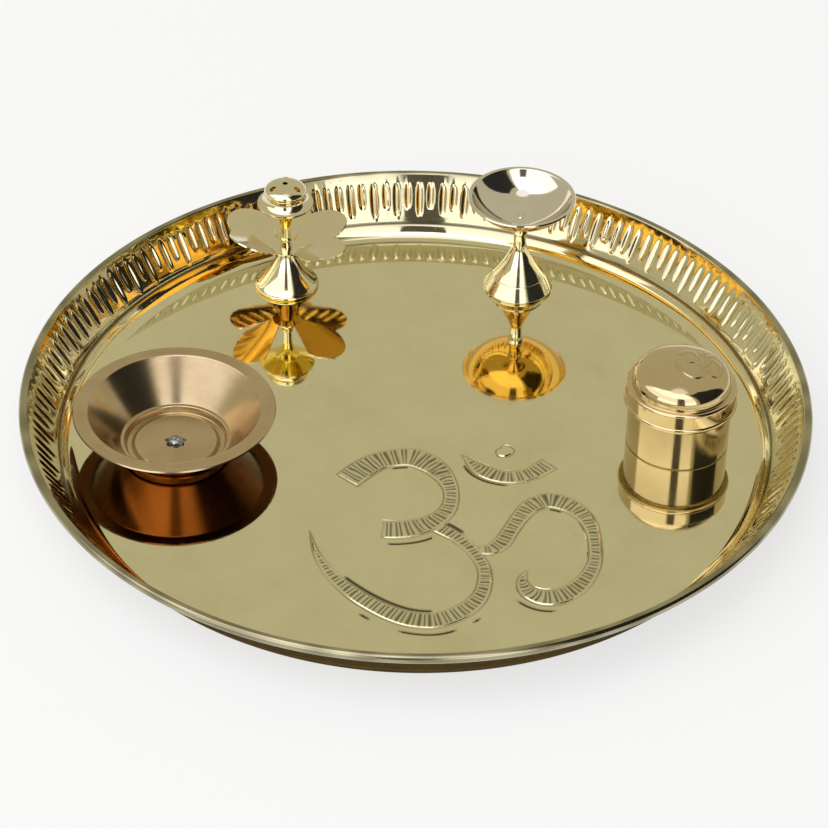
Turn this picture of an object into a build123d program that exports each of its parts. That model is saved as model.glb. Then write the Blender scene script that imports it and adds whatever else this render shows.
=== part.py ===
from build123d import *
import os
from math import atan2, cos, radians, sin, sqrt, tan

# Puja thali: a pressed brass plate that carries an incense holder, an oil lamp, a kumkum box and a bowl.
# Millimetres. The origin is the middle of the plate's underside, +Z is up and -Y is the user's side.
# In every profile, x is the distance from the piece's own axis and y is the height above what it stands on.

# Plate
PLATE_DIAMETER = 254.0
PLATE_HEIGHT = 20.3
PLATE_SHEET = 0.8
WALL_ANGLE = 57.3
COVE_RADIUS = 5.0
CURL_DIAMETER = 3.0
CURL_ANGLE = 250.0

# Flutes pressed outward in the plate's wall, long and short by turns
FLUTE_PAIRS = 92
FLUTE_START = 2.8
LONG_FLUTE = 11.5
SHORT_FLUTE = 8.8
FLUTE_WIDTH = 2.4
FLUTE_DEPTH = 0.55
FLUTE_SIDE_ANGLE = 58.0
PRESS_START = 0.3

# Where each ware stands: its direction from the plate's middle and its gap to the foot of the wall
INCENSE_ANGLE = 119.0
INCENSE_GAP = 6.7
DIYA_ANGLE = 67.6
DIYA_GAP = 8.6
BOX_ANGLE = 0.4
BOX_GAP = 10.3
BOWL_ANGLE = 185.9
BOWL_GAP = 2.2

# Incense holder: cone foot
CONE_DIAMETER = 22.2
CONE_HEIGHT = 15.0
CONE_TOP_DIAMETER = 4.6
CONE_HOLLOW = 1.0
CONE_EDGE = 1.5
SPIGOT_DIAMETER = 2.4
SPIGOT_LENGTH = 4.5

# Incense holder: stamped flower, with its front place left open
FLOWER_SHEET = 0.5
HUB_DIAMETER = 10.0
HUB_LAP = 0.4
PETAL_REACH = 24.0
PETAL_LENGTH = 22.0
PETAL_WIDTH = 17.0
PETAL_PITCH_ANGLE = 60.0
PETAL_SLIT = 0.5
PETAL_ANGLE = 21.0
BENT_PETAL_ANGLE = 36.0
FIRST_PETAL_ANGLE = -30.0
PETAL_COUNT = 5

# Incense holder: neck and bud
NECK_DIAMETER = 3.4
NECK_RING_DIAMETER = 4.4
NECK_RING_HEIGHT = 3.8
NECK_RING_WIDTH = 1.8
NECK_LENGTH = 7.5
THROAT_DIAMETER = 9.0
THROAT_HEIGHT = 15.8
SKIRT_DIAMETER = 19.0
SKIRT_HEIGHT = 18.2
SKIRT_EDGE = 0.7
WAIST_DIAMETER = 13.6
WAIST_HEIGHT = 22.2
CAP_DIAMETER = 14.4
CAP_HEIGHT = 23.4
BUD_HEIGHT = 26.4
STICK_HOLE_DIAMETER = 1.8
STICK_HOLE_DEPTH = 7.0
SIDE_HOLE_ANGLES = (90.0, 210.0, 330.0)
SIDE_HOLE_TILT_ANGLE = 66.0
SIDE_HOLE_START = 2.6

# Oil lamp
FOOT_DIAMETER = 24.2
FOOT_HEIGHT = 5.0
FOOT_EDGE = 0.7
FOOT_REST_DIAMETER = 23.4
FOOT_SHOULDER_DIAMETER = 18.0
BELL_DIAMETER = 9.4
BELL_HEIGHT = 11.8
BELL_START = (-1.0, 1.2)
STEM_DIAMETER = 4.4
STEM_START = 18.4
COLLAR_DIAMETER = 5.8
COLLAR_START = 21.6
COLLAR_END = 26.4
STEM_HEIGHT = 28.1
TENON_DIAMETER = 2.0
TENON_HEAD_DIAMETER = 2.8
TENON_HEAD = 0.5
CUP_DIAMETER = 36.4
CUP_DEPTH = 8.2
CUP_LIP = 1.8
CUP_SHEET = 0.9

# Kumkum box
BOX_DIAMETER = 33.4
BOX_SHOULDER = 15.6
BOX_RING = 2.0
BOX_RING_REACH = 1.6
BOX_RING_EDGE = 0.7
BOX_NECK = 3.8
BOX_WALL = 0.9
BOX_FLOOR = 1.2
LID_CLEARANCE = 0.15
LID_SHEET = 0.9
LID_BAND = 5.4
LID_EDGE = 1.1
LID_STEP = 2.2
LID_DRUM = 0.6
LID_DOME = 7.8
LID_SHOULDER_RADIUS = 5.6

# Bowl
BOWL_DIAMETER = 64.6
BOWL_HEIGHT = 15.6
BOWL_SHEET = 0.8
BOWL_LIP = 4.3
BOWL_LIP_DROOP = 0.3
BOWL_LEDGE_WIDTH = 1.1
BOWL_LEDGE_HEIGHT = 3.1
BOWL_FOOT_DIAMETER = 31.6
BOWL_FOOT_WIDTH = 1.5
BOWL_PANEL_SLOPE = 1.1
BOWL_PANEL_RISE = 1.1
BOWL_BEND = 0.4
BOWL_LIP_BEND = 1.2
RIVET_DIAMETER = 2.4
RIVET_HEAD_DIAMETER = 4.2
RIVET_HEAD = 1.1
RIVET_TAIL_DIAMETER = 3.8
RIVET_TAIL = 0.5

# Fits and small edges
JOINT_CLEARANCE = 0.05
SOFT_EDGE = 0.25
RECESS_RIM = 2.0
RECESS_DEPTH = 2.0
RECESS_TAPER_ANGLE = 30.0

os.makedirs("parts", exist_ok=True)


def stand_at(direction, wall_gap, half_width):
    """Middle of a ware that stands with this gap between its outline and the foot of the wall."""
    distance = wall_foot - wall_gap - half_width
    return (distance * cos(radians(direction)), distance * sin(radians(direction)))


def upright(place, height=0.0):
    """Vertical drawing plane through a ware's axis, measured from the plate's floor."""
    return Plane(origin=(*place, PLATE_SHEET + height), x_dir=(1, 0, 0), z_dir=(0, -1, 0))


def level(place, height):
    """Level drawing plane on a ware's axis, measured from the plate's floor."""
    return Plane(origin=(*place, PLATE_SHEET + height))


def axis_at(place):
    return Axis((*place, 0), (0, 0, 1))


def wall_press(length, face_depth):
    """Tapered bar with pointed ends that presses one flute into the wall at this depth in its sheet."""
    spread = PRESS_START * tan(radians(FLUTE_SIDE_ANGLE))
    half_width = FLUTE_WIDTH / 2 + spread
    half_length = length / 2 + spread * sqrt(2)
    shoulder = half_length - half_width
    along = FLUTE_START + length / 2
    inward = PRESS_START - face_depth
    start_x = wall_top[0] - along * wall_cos - inward * wall_sin
    start_z = wall_top[1] - along * wall_sin + inward * wall_cos
    outward = (wall_sin, 0, -wall_cos)
    with BuildPart() as press:
        with BuildSketch(Plane(origin=(start_x, 0, start_z), x_dir=(wall_cos, 0, wall_sin), z_dir=outward)):
            Polygon(
                (-half_length, 0),
                (-shoulder, -half_width),
                (shoulder, -half_width),
                (half_length, 0),
                (shoulder, half_width),
                (-shoulder, half_width),
                align=None,
            )
        extrude(amount=PRESS_START + FLUTE_DEPTH, taper=FLUTE_SIDE_ANGLE)
    return press.part


def finish(builder, name):
    builder.part.label = name
    export_step(builder.part, f"parts/{name}.step")


# Plate: floor, cove, sloping wall and rolled edge are one sheet, drawn on its upper side.
# The wall meets the curl on a tangent, so the foot of the wall follows from the curl and the wall's angle.
curl_radius = CURL_DIAMETER / 2
curl_x = PLATE_DIAMETER / 2 - curl_radius
curl_y = PLATE_HEIGHT - curl_radius
wall_cos = cos(radians(WALL_ANGLE))
wall_sin = sin(radians(WALL_ANGLE))
wall_top = (curl_x - curl_radius * wall_sin, curl_y + curl_radius * wall_cos)
wall_foot = wall_top[0] - (wall_top[1] - PLATE_SHEET) / tan(radians(WALL_ANGLE))

# Each flute is a hollow in the wall's face with a rib of the same form behind it.
long_hollow = wall_press(LONG_FLUTE, 0)
short_hollow = wall_press(SHORT_FLUTE, 0)
long_rib = wall_press(LONG_FLUTE, PLATE_SHEET)
short_rib = wall_press(SHORT_FLUTE, PLATE_SHEET)
half_step = 180 / FLUTE_PAIRS

with BuildPart() as thali_plate:
    with BuildSketch(Plane.XZ):
        with BuildLine():
            FilletPolyline((0, PLATE_SHEET), (wall_foot, PLATE_SHEET), wall_top, radius=COVE_RADIUS)
            CenterArc((curl_x, curl_y), curl_radius, 90 + WALL_ANGLE, -CURL_ANGLE)
            offset(amount=PLATE_SHEET, side=Side.RIGHT)
        make_face()
    revolve(axis=Axis.Z)
    with PolarLocations(0, FLUTE_PAIRS):
        add(long_rib)
        add(long_hollow, mode=Mode.SUBTRACT)
    with PolarLocations(0, FLUTE_PAIRS, start_angle=half_step):
        add(short_rib)
        add(short_hollow, mode=Mode.SUBTRACT)
finish(thali_plate, "thali_plate")

# Incense holder, cone foot: a hollowed cone on a rounded edge, with a spigot for the bud
incense_at = stand_at(INCENSE_ANGLE, INCENSE_GAP, CONE_DIAMETER / 2)
rest_radius = (CONE_DIAMETER - CONE_EDGE) / 2
spigot_top = CONE_HEIGHT + FLOWER_SHEET + SPIGOT_LENGTH
spigot_hole = SPIGOT_DIAMETER / 2 + JOINT_CLEARANCE

with BuildPart() as incense_base:
    with BuildSketch(upright(incense_at)):
        with BuildLine():
            Line((0, 0), (rest_radius, 0))
            SagittaArc((rest_radius, 0), (rest_radius, CONE_EDGE), -CONE_EDGE / 2)
            SagittaArc((rest_radius, CONE_EDGE), (CONE_TOP_DIAMETER / 2, CONE_HEIGHT), CONE_HOLLOW)
            Polyline(
                (CONE_TOP_DIAMETER / 2, CONE_HEIGHT),
                (SPIGOT_DIAMETER / 2, CONE_HEIGHT),
                (SPIGOT_DIAMETER / 2, spigot_top),
                (0, spigot_top),
                (0, 0),
            )
        make_face()
    revolve(axis=axis_at(incense_at))
    with BuildSketch(level(incense_at, 0)):
        Circle(rest_radius - RECESS_RIM)
    extrude(amount=RECESS_DEPTH, taper=RECESS_TAPER_ANGLE, mode=Mode.SUBTRACT)
finish(incense_base, "incense_base")

# Incense holder, flower: a flat hub with petals bent up at its edge and a slit on each side of a petal
bend_radius = HUB_DIAMETER / 2 - HUB_LAP
half_pitch = tan(radians(PETAL_PITCH_ANGLE / 2))
slit_half = PETAL_SLIT / 2 / cos(radians(PETAL_PITCH_ANGLE / 2))
root_half = bend_radius * half_pitch - slit_half
tip_half = PETAL_REACH * half_pitch - slit_half
petal_span = PETAL_REACH - bend_radius

with BuildPart() as incense_flower:
    with BuildSketch(level(incense_at, CONE_HEIGHT)):
        Circle(HUB_DIAMETER / 2)
    extrude(amount=FLOWER_SHEET)
    for number in range(PETAL_COUNT):
        turn = FIRST_PETAL_ANGLE + number * PETAL_PITCH_ANGLE
        rise = BENT_PETAL_ANGLE if number == PETAL_COUNT - 1 else PETAL_ANGLE
        bend = Rot(0, 0, turn) * Pos(bend_radius, 0, 0) * Rot(0, -rise, 0)
        with BuildSketch(level(incense_at, CONE_HEIGHT) * bend):
            with Locations((petal_span - PETAL_LENGTH / 2, 0)):
                Ellipse(PETAL_LENGTH / 2, PETAL_WIDTH / 2)
            Polygon(
                (0, -root_half),
                (petal_span, -tip_half),
                (petal_span, tip_half),
                (0, root_half),
                align=None,
                mode=Mode.INTERSECT,
            )
        extrude(amount=FLOWER_SHEET)
    with BuildSketch(level(incense_at, CONE_HEIGHT)):
        Circle(spigot_hole)
    extrude(amount=SPIGOT_LENGTH, mode=Mode.SUBTRACT)
finish(incense_flower, "incense_flower")

# Incense holder, bud: a ringed neck that opens into a skirt, a waist and a domed cap with stick holes
bud_seat = CONE_HEIGHT + FLOWER_SHEET
neck_radius = NECK_DIAMETER / 2
ring_start = NECK_RING_HEIGHT - NECK_RING_WIDTH / 2
ring_end = NECK_RING_HEIGHT + NECK_RING_WIDTH / 2
skirt_top = SKIRT_HEIGHT + SKIRT_EDGE
cap_rise = BUD_HEIGHT - CAP_HEIGHT

with BuildPart() as incense_bud:
    with BuildSketch(upright(incense_at, bud_seat)):
        with BuildLine():
            Polyline((0, 0), (NECK_RING_DIAMETER / 2, 0), (neck_radius, ring_start))
            SagittaArc(
                (neck_radius, ring_start), (neck_radius, ring_end), neck_radius - NECK_RING_DIAMETER / 2
            )
            Line((neck_radius, ring_end), (neck_radius, NECK_LENGTH))
            TangentArc((neck_radius, NECK_LENGTH), (THROAT_DIAMETER / 2, THROAT_HEIGHT), tangent=(0, 1))
            Polyline(
                (THROAT_DIAMETER / 2, THROAT_HEIGHT),
                (SKIRT_DIAMETER / 2, SKIRT_HEIGHT),
                (SKIRT_DIAMETER / 2, skirt_top),
            )
            TangentArc((WAIST_DIAMETER / 2, WAIST_HEIGHT), (SKIRT_DIAMETER / 2, skirt_top), tangent=(0, -1))
            TangentArc((CAP_DIAMETER / 2, CAP_HEIGHT), (WAIST_DIAMETER / 2, WAIST_HEIGHT), tangent=(0, -1))
            EllipticalCenterArc((0, CAP_HEIGHT), CAP_DIAMETER / 2, cap_rise, 0, arc_size=90)
            Line((0, BUD_HEIGHT), (0, 0))
        make_face()
    revolve(axis=axis_at(incense_at))
    with BuildSketch(level(incense_at, bud_seat)):
        Circle(spigot_hole)
    extrude(amount=SPIGOT_LENGTH + JOINT_CLEARANCE, mode=Mode.SUBTRACT)
    with BuildSketch(level(incense_at, bud_seat + BUD_HEIGHT - STICK_HOLE_DEPTH)):
        Circle(STICK_HOLE_DIAMETER / 2)
    extrude(amount=STICK_HOLE_DEPTH, mode=Mode.SUBTRACT)
    for direction in SIDE_HOLE_ANGLES:
        aim = Rot(0, 0, direction) * Rot(0, SIDE_HOLE_TILT_ANGLE, 0) * Pos(0, 0, SIDE_HOLE_START)
        with BuildSketch(level(incense_at, bud_seat + CAP_HEIGHT) * aim):
            Circle(STICK_HOLE_DIAMETER / 2)
        extrude(amount=STICK_HOLE_DEPTH, mode=Mode.SUBTRACT)
finish(incense_bud, "incense_bud")

# Oil lamp, stand: a sloping foot, a bell up to the stem, a round collar and a tenon riveted over inside the cup
diya_at = stand_at(DIYA_ANGLE, DIYA_GAP, FOOT_DIAMETER / 2)
stem_radius = STEM_DIAMETER / 2
cup_floor = STEM_HEIGHT + CUP_SHEET

with BuildPart() as diya_stand:
    with BuildSketch(upright(diya_at)):
        with BuildLine():
            Polyline(
                (0, 0),
                (FOOT_REST_DIAMETER / 2, 0),
                (FOOT_DIAMETER / 2, FOOT_EDGE),
                (FOOT_SHOULDER_DIAMETER / 2, FOOT_HEIGHT),
            )
            Spline(
                (FOOT_SHOULDER_DIAMETER / 2, FOOT_HEIGHT),
                (BELL_DIAMETER / 2, BELL_HEIGHT),
                (stem_radius, STEM_START),
                tangents=(BELL_START, (0, 1)),
            )
            Line((stem_radius, STEM_START), (stem_radius, COLLAR_START))
            ThreePointArc(
                (stem_radius, COLLAR_START),
                (COLLAR_DIAMETER / 2, (COLLAR_START + COLLAR_END) / 2),
                (stem_radius, COLLAR_END),
            )
            Polyline(
                (stem_radius, COLLAR_END),
                (stem_radius, STEM_HEIGHT),
                (TENON_DIAMETER / 2, STEM_HEIGHT),
                (TENON_DIAMETER / 2, cup_floor),
                (TENON_HEAD_DIAMETER / 2, cup_floor),
            )
            TangentArc((0, cup_floor + TENON_HEAD), (TENON_HEAD_DIAMETER / 2, cup_floor), tangent=(1, 0))
            Line((0, cup_floor + TENON_HEAD), (0, 0))
        make_face()
    revolve(axis=axis_at(diya_at))
    with BuildSketch(level(diya_at, 0)):
        Circle(FOOT_REST_DIAMETER / 2 - RECESS_RIM)
    extrude(amount=RECESS_DEPTH, taper=RECESS_TAPER_ANGLE, mode=Mode.SUBTRACT)
finish(diya_stand, "diya_stand")

# Oil lamp, cup: a shallow spun dish with a flat lip, holed for the tenon
lip_radius = CUP_DIAMETER / 2 - CUP_LIP
tenon_hole = TENON_DIAMETER / 2 + JOINT_CLEARANCE
seat_radius = stem_radius + CUP_SHEET

with BuildPart() as diya_cup:
    with BuildSketch(upright(diya_at, cup_floor)):
        with BuildLine():
            Line((0, 0), (seat_radius, 0))
            TangentArc((seat_radius, 0), (lip_radius, CUP_DEPTH), tangent=(1, 0))
            Line((lip_radius, CUP_DEPTH), (CUP_DIAMETER / 2, CUP_DEPTH))
            offset(amount=CUP_SHEET, side=Side.RIGHT)
        make_face()
    revolve(axis=axis_at(diya_at))
    with BuildSketch(level(diya_at, STEM_HEIGHT)):
        Circle(tenon_hole)
    extrude(amount=CUP_SHEET, mode=Mode.SUBTRACT)
finish(diya_cup, "diya_cup")

# Kumkum box, body: a turned cup with a shoulder ring that the lid rests on and a neck that guides it
box_at = stand_at(BOX_ANGLE, BOX_GAP, BOX_DIAMETER / 2)
box_radius = BOX_DIAMETER / 2
ring_radius = box_radius + BOX_RING_REACH
lid_seat = BOX_SHOULDER + BOX_RING
neck_outer = ring_radius - LID_SHEET - LID_CLEARANCE
neck_top = lid_seat + BOX_NECK
well_radius = box_radius - BOX_WALL

with BuildPart() as kumkum_box_body:
    with BuildSketch(upright(box_at)):
        with BuildLine():
            FilletPolyline(
                (0, 0),
                (box_radius, 0),
                (box_radius, BOX_SHOULDER),
                (ring_radius, BOX_SHOULDER),
                (ring_radius, lid_seat),
                (neck_outer, lid_seat),
                (neck_outer, neck_top),
                (well_radius, neck_top),
                (well_radius, BOX_FLOOR),
                (0, BOX_FLOOR),
                radius=(SOFT_EDGE, SOFT_EDGE, BOX_RING_EDGE, SOFT_EDGE, 0, SOFT_EDGE, SOFT_EDGE, BOX_WALL),
            )
            Line((0, BOX_FLOOR), (0, 0))
        make_face()
    revolve(axis=axis_at(box_at))
finish(kumkum_box_body, "kumkum_box_body")

# Kumkum box, lid: a band that slips over the neck, a step and a dome with a wide round shoulder.
# Its outline is drawn on the outside, and the sheet lies inside it. The crown is the arc that meets the
# shoulder's arc on a tangent and rises to the dome's height.
step_radius = ring_radius - LID_STEP
drum_top = LID_BAND + LID_DRUM
dome_top = drum_top + LID_DOME
shoulder_x = step_radius - LID_SHOULDER_RADIUS
crown_radius = (shoulder_x**2 + LID_DOME**2 - LID_SHOULDER_RADIUS**2) / (2 * (LID_DOME - LID_SHOULDER_RADIUS))
crown_slope = atan2(shoulder_x, crown_radius - LID_DOME)
crown_edge = (crown_radius * sin(crown_slope), dome_top - crown_radius * (1 - cos(crown_slope)))

with BuildPart() as kumkum_box_lid:
    with BuildSketch(upright(box_at, lid_seat)):
        with BuildLine():
            FilletPolyline(
                (ring_radius, 0),
                (ring_radius, LID_BAND),
                (step_radius, LID_BAND),
                (step_radius, drum_top),
                radius=(LID_EDGE, SOFT_EDGE),
            )
            TangentArc((step_radius, drum_top), crown_edge, tangent=(0, 1))
            ThreePointArc(crown_edge, (0, dome_top), (-crown_edge[0], crown_edge[1]))
            offset(amount=LID_SHEET, side=Side.LEFT)
        make_face()
        split(bisect_by=Plane.YZ, keep=Keep.TOP)
    revolve(axis=axis_at(box_at))
finish(kumkum_box_lid, "kumkum_box_lid")

# Bowl: a raised floor panel inside a pressed foot ring, a ledge, a straight wall and a flat lip
bowl_at = stand_at(BOWL_ANGLE, BOWL_GAP, BOWL_DIAMETER / 2)
panel_height = BOWL_SHEET + BOWL_PANEL_RISE
foot_outer = BOWL_FOOT_DIAMETER / 2
foot_inner = foot_outer - BOWL_FOOT_WIDTH
ledge_inner = foot_outer + BOWL_SHEET
lip_inner = BOWL_DIAMETER / 2 - BOWL_LIP

with BuildPart() as bowl:
    with BuildSketch(upright(bowl_at)):
        with BuildLine():
            FilletPolyline(
                (0, panel_height),
                (foot_inner - BOWL_PANEL_SLOPE, panel_height),
                (foot_inner, BOWL_SHEET),
                (foot_outer, BOWL_SHEET),
                (ledge_inner, BOWL_LEDGE_HEIGHT),
                (ledge_inner + BOWL_LEDGE_WIDTH, BOWL_LEDGE_HEIGHT),
                (lip_inner, BOWL_HEIGHT),
                (BOWL_DIAMETER / 2, BOWL_HEIGHT - BOWL_LIP_DROOP),
                radius=(BOWL_BEND, BOWL_BEND, BOWL_BEND, BOWL_BEND, BOWL_BEND, BOWL_LIP_BEND),
            )
            offset(amount=BOWL_SHEET, side=Side.RIGHT)
        make_face()
    revolve(axis=axis_at(bowl_at))
    with BuildSketch(level(bowl_at, BOWL_PANEL_RISE)):
        Circle(RIVET_DIAMETER / 2 + JOINT_CLEARANCE)
    extrude(amount=BOWL_SHEET, mode=Mode.SUBTRACT)
finish(bowl, "bowl")

# Bowl rivet: a domed head on the floor panel, a shank and a tail spread flat below
rivet_top = panel_height + RIVET_HEAD
tail_height = BOWL_PANEL_RISE - RIVET_TAIL

with BuildPart() as bowl_rivet:
    with BuildSketch(upright(bowl_at)):
        with BuildLine():
            Polyline(
                (0, tail_height),
                (RIVET_TAIL_DIAMETER / 2, tail_height),
                (RIVET_TAIL_DIAMETER / 2, BOWL_PANEL_RISE),
                (RIVET_DIAMETER / 2, BOWL_PANEL_RISE),
                (RIVET_DIAMETER / 2, panel_height),
                (RIVET_HEAD_DIAMETER / 2, panel_height),
            )
            TangentArc((0, rivet_top), (RIVET_HEAD_DIAMETER / 2, panel_height), tangent=(1, 0))
            Line((0, rivet_top), (0, tail_height))
        make_face()
    revolve(axis=axis_at(bowl_at))
finish(bowl_rivet, "bowl_rivet")
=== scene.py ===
import math
from math import cos, pi, radians, sin, tan

import bpy
import numpy as np
from bpy.props import FloatProperty, FloatVectorProperty, IntProperty, PointerProperty
from mathutils import Matrix, Vector


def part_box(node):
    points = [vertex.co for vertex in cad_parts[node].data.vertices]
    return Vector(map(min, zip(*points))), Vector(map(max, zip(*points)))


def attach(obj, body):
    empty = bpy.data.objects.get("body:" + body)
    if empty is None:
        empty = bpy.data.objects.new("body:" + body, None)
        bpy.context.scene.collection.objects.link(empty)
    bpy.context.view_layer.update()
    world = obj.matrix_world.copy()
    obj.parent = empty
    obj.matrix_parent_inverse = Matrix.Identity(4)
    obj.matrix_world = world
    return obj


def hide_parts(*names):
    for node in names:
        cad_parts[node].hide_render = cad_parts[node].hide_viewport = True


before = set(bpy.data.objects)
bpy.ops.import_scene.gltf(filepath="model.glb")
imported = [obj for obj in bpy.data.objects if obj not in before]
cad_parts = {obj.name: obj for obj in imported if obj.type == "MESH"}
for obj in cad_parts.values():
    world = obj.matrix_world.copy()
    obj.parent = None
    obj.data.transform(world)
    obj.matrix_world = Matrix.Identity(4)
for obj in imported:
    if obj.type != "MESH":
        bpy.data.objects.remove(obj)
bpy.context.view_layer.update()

bl_info = {
    "name": "Puja thali",
    "version": (1, 0, 0),
    "blender": (4, 5, 0),
    "location": "View3D > Sidebar > Thali",
    "description": "Dresses the brass worship tray and the four wares that stand on it",
    "category": "Object",
}

MM = 0.001
ROUND_STEPS = 128
FLUTE_COLUMNS = 10
FLOOR_RING = 105.0 * MM
BACK_RING = 60.0 * MM
CURL_TURN = radians(250)
SIGN_CORNERS = (Vector((-38, -98)) * MM, Vector((63, 1)) * MM)
SIGN_STEP = 0.23 * MM
SIGN_MARGIN = 3.5
RIB_PITCH = 1.55
LID_SIGN_SHRINK = 6.1
WINDOW_SPAN = (-100, 31)
DOME_RADIUS = 2.4
CARD_RADIUS = 2.3
TABLE_SIZE = 30.0
TABLE_DROP = 0.2 * MM


def axis_of(node):
    """Middle of a node's underside, in metres."""
    low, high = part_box(node)
    return Vector(((low.x + high.x) / 2, (low.y + high.y) / 2, low.z))


def width_of(node):
    """Size of a node from left to right, in metres."""
    low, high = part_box(node)
    return high.x - low.x


def height_of(node):
    """Size of a node from its underside to its top, in metres."""
    low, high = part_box(node)
    return high.z - low.z


def length_value(label, hint, default):
    return FloatProperty(name=label, description=hint, default=default, min=0.0, precision=5, unit="LENGTH")


def colour_value(label, hint, default):
    return FloatVectorProperty(
        name=label, description=hint, default=default, size=3, min=0.0, max=1.0, subtype="COLOR"
    )


def strength_value(label, hint, default):
    return FloatProperty(name=label, description=hint, default=default, min=0.0)


class PlateSizes(bpy.types.PropertyGroup):
    """Sizes of the pressed plate."""

    width: length_value("Width", "Across the rolled edge", width_of("thali_plate"))
    height: length_value("Height", "From the table to the top of the rolled edge", height_of("thali_plate"))
    sheet: length_value("Sheet", "Thickness of the brass sheet", 0.8 * MM)
    wall_angle: FloatProperty(
        name="Wall angle", description="Slope of the wall", default=radians(57.3), subtype="ANGLE"
    )
    curl: length_value("Curl", "Diameter of the rolled edge", 3.0 * MM)
    cove: length_value("Cove", "Radius where the floor turns up into the wall", 5.0 * MM)
    flute_pairs: IntProperty(
        name="Flute pairs", description="Long and short flutes by turns", default=92, min=3
    )
    flute_start: length_value("Flute start", "From the rolled edge down to the flutes", 2.8 * MM)
    long_flute: length_value("Long flute", "Length of the long flutes", 11.6 * MM)
    short_flute: length_value("Short flute", "Length of the short flutes", 9.2 * MM)
    flute_width: length_value("Flute width", "Width of a flute", 2.5 * MM)
    flute_depth: length_value("Flute depth", "How far a flute is pressed outward", 0.62 * MM)
    line_place: length_value("Line place", "From the rolled edge to the line below the flutes", 17.2 * MM)
    sign_height: length_value("Sign height", "Rise of the pressed sign on the floor", 0.34 * MM)


class WareSizes(bpy.types.PropertyGroup):
    """Sizes of the four wares."""

    cone_width: length_value("Cone width", "Foot of the incense holder", width_of("incense_base"))
    petal_reach: length_value("Petal reach", "From the holder's axis to a flat petal's tip", 24.0 * MM)
    petal_width: length_value("Petal width", "Widest part of a petal", 17.0 * MM)
    bud_height: length_value("Bud height", "Neck, skirt and cap of the incense holder", 26.4 * MM)
    foot_width: length_value("Foot width", "Foot of the lamp", width_of("diya_stand"))
    cup_width: length_value("Cup width", "Across the lamp's cup", width_of("diya_cup"))
    box_width: length_value("Box width", "Across the powder box's shoulder ring", width_of("kumkum_box_body"))
    lid_height: length_value("Lid height", "From its ring to the dome's top", height_of("kumkum_box_lid"))
    bowl_width: length_value("Bowl width", "Across the bowl's lip", width_of("bowl"))
    rivet_width: length_value("Rivet width", "Head of the bowl's rivet", width_of("bowl_rivet"))


class FinishColours(bpy.types.PropertyGroup):
    """Colours of the metals."""

    plate: colour_value("Plate brass", "Polished sheet of the plate", (0.82, 0.77, 0.53))
    cast: colour_value("Cast brass", "Turned and polished castings", (0.8, 0.73, 0.52))
    petal: colour_value("Sheet brass", "Petals and lamp cup", (0.8, 0.72, 0.49))
    turned: colour_value("Turned brass", "Powder box", (0.66, 0.53, 0.32))
    bronze: colour_value("Bowl bronze", "Brown toned spun bowl", (0.62, 0.495, 0.32))
    cup: colour_value("Cup brass", "Pale spun cup of the lamp", (0.78, 0.73, 0.64))
    rivet: colour_value("Rivet metal", "Dull grey rivet", (0.42, 0.43, 0.45))


class StudioLook(bpy.types.PropertyGroup):
    """Light and floor of the studio."""

    room: colour_value("Room", "Plain light from all round", (0.56, 0.53, 0.385))
    low_window: strength_value("Low window", "Foot of the large soft light", 2.0)
    middle_window: strength_value("Middle window", "Middle of the large soft light", 1.5)
    high_window: strength_value("High window", "Top of the large soft light", 2.0)
    ceiling: strength_value("Ceiling", "Pale round patch overhead", 1.15)
    floor: colour_value("Floor", "Colour of the table under the tray", (0.96, 0.96, 0.99))


def pick_none():
    """Leaves edit mode with nothing selected."""
    if bpy.context.object and bpy.context.object.mode != "OBJECT":
        bpy.ops.object.mode_set(mode="OBJECT")
    bpy.ops.object.select_all(action="DESELECT")


def pick(*objects):
    pick_none()
    for one in objects:
        one.select_set(True)
    bpy.context.view_layer.objects.active = objects[0]


def named(name):
    """The piece that was just added, under its name."""
    piece = bpy.context.object
    piece.name = name
    piece.data.name = name
    return piece


def rounded(corners, pieces=6):
    """Outline through these corners, each turned with its own radius where it has one."""
    outline = []
    for number, corner in enumerate(corners):
        here = Vector(corner[:2])
        if len(corner) < 3:
            outline.append(tuple(here))
            continue
        radius = corner[2]
        back = (Vector(corners[number - 1][:2]) - here).normalized()
        onward = (Vector(corners[number + 1][:2]) - here).normalized()
        half = back.angle(onward) / 2
        start = here + back * radius / tan(half)
        end = here + onward * radius / tan(half)
        middle = here + (back + onward).normalized() * radius / sin(half)
        outline += sweep(tuple(start), tuple(middle), tuple(end), pieces)
    return outline


def sweep(start, middle, end, pieces=8):
    """Points from start to end, the short way round a middle."""
    first = math.atan2(start[1] - middle[1], start[0] - middle[0])
    turn = math.atan2(end[1] - middle[1], end[0] - middle[0]) - first
    turn = (turn + pi) % (2 * pi) - pi
    radius = math.dist(start, middle)
    angles = [first + turn * step / pieces for step in range(pieces + 1)]
    return [(middle[0] + radius * cos(a), middle[1] + radius * sin(a)) for a in angles]


def bow(start, end, sagitta, pieces=10):
    """Shallow arc that leaves its chord by the sagitta, to the left of the way from start to end."""
    chord = Vector(end) - Vector(start)
    side = Vector((-chord.y, chord.x)).normalized()
    radius = (chord.length**2 / 4 + sagitta**2) / (2 * abs(sagitta))
    middle = Vector(start) + chord / 2 + side * (sagitta - math.copysign(radius, sagitta))
    return sweep(start, tuple(middle), end, pieces)


def swing(start, heading, end, pieces=10):
    """Arc that leaves start with this heading and ends at end."""
    chord = Vector(end) - Vector(start)
    side = Vector((-heading[1], heading[0])).normalized()
    radius = chord.length_squared / (2 * chord.dot(side))
    return sweep(start, tuple(Vector(start) + side * radius), end, pieces)


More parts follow.
